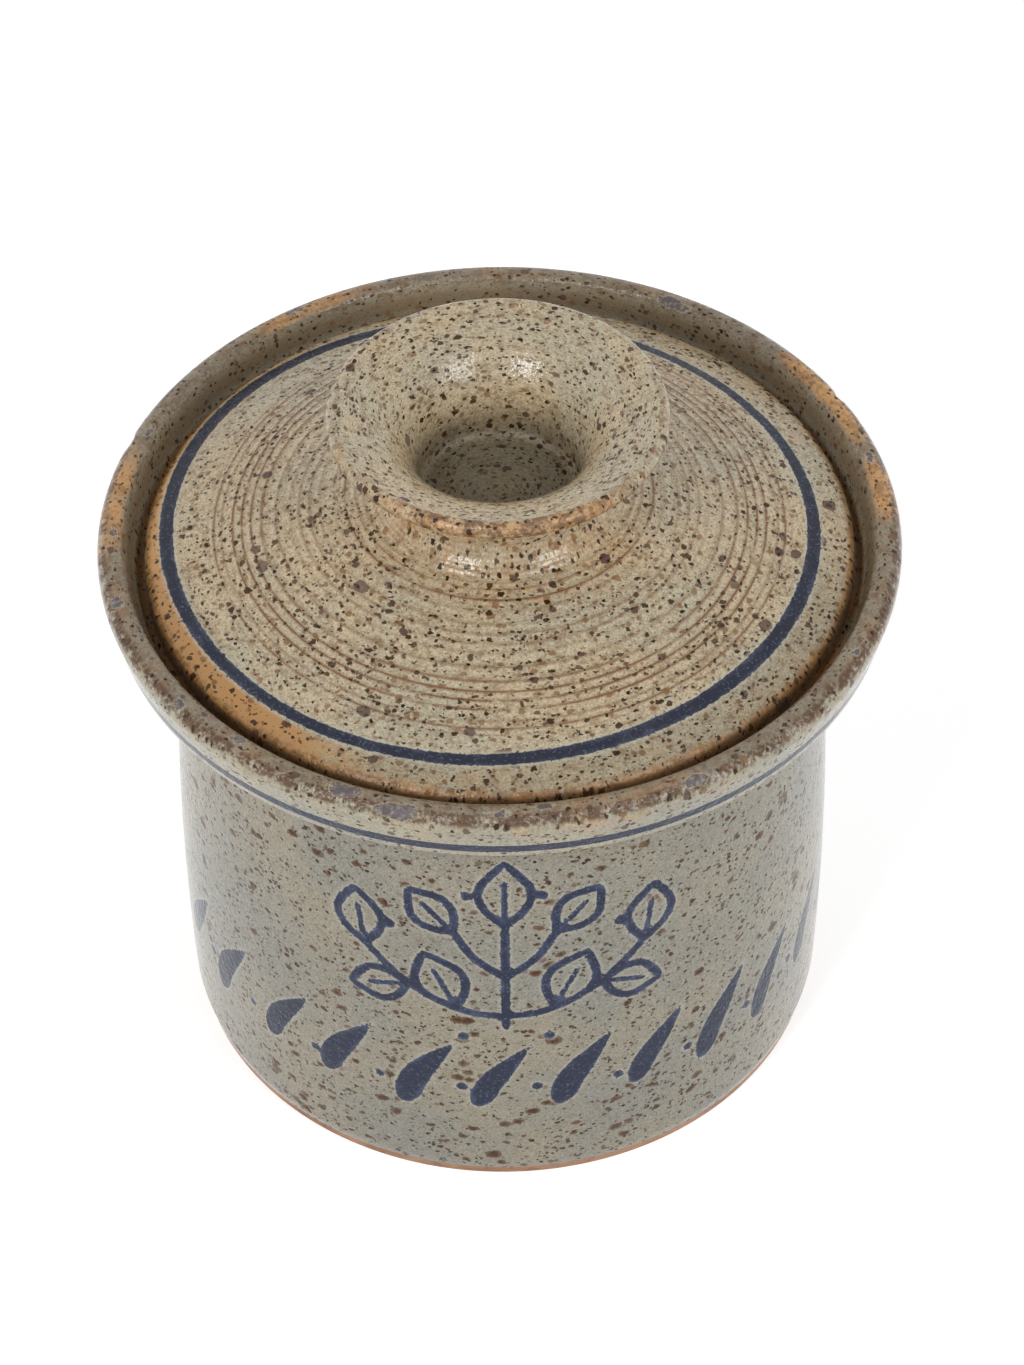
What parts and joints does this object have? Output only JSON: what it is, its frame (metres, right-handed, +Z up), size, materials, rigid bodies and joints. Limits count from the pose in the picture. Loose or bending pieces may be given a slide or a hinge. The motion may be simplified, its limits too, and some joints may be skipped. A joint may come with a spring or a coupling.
{
  "type": "lidded grease crock",
  "caption": "Round speckled stoneware crock with an overhanging galleried rim and a drop-in conical lid with a hollow knob, for keeping bacon grease.",
  "frame": {"origin": "middle of the foot, on the surface that the crock stands on", "axes": "+Z up along the axis of turning, -Y towards the decorated front"},
  "size_m": [0.14, 0.14, 0.1349],
  "materials": {
    "crock_glaze": "grey-tan speckled stoneware glaze, glossy, with cobalt brushwork and a bare foot",
    "lid_glaze": "warm grey-tan speckled stoneware glaze, glossy, with a cobalt band"
  },
  "bodies": {
    "crock": {"crock": "crock_glaze"},
    "lid": {"lid": "lid_glaze"}
  },
  "joints": [
    {"name": "lid_lift", "type": "slide", "parent": "crock", "child": "lid", "axis": [0, 0, 1], "range_m": [0, 0.12]}
  ]
}
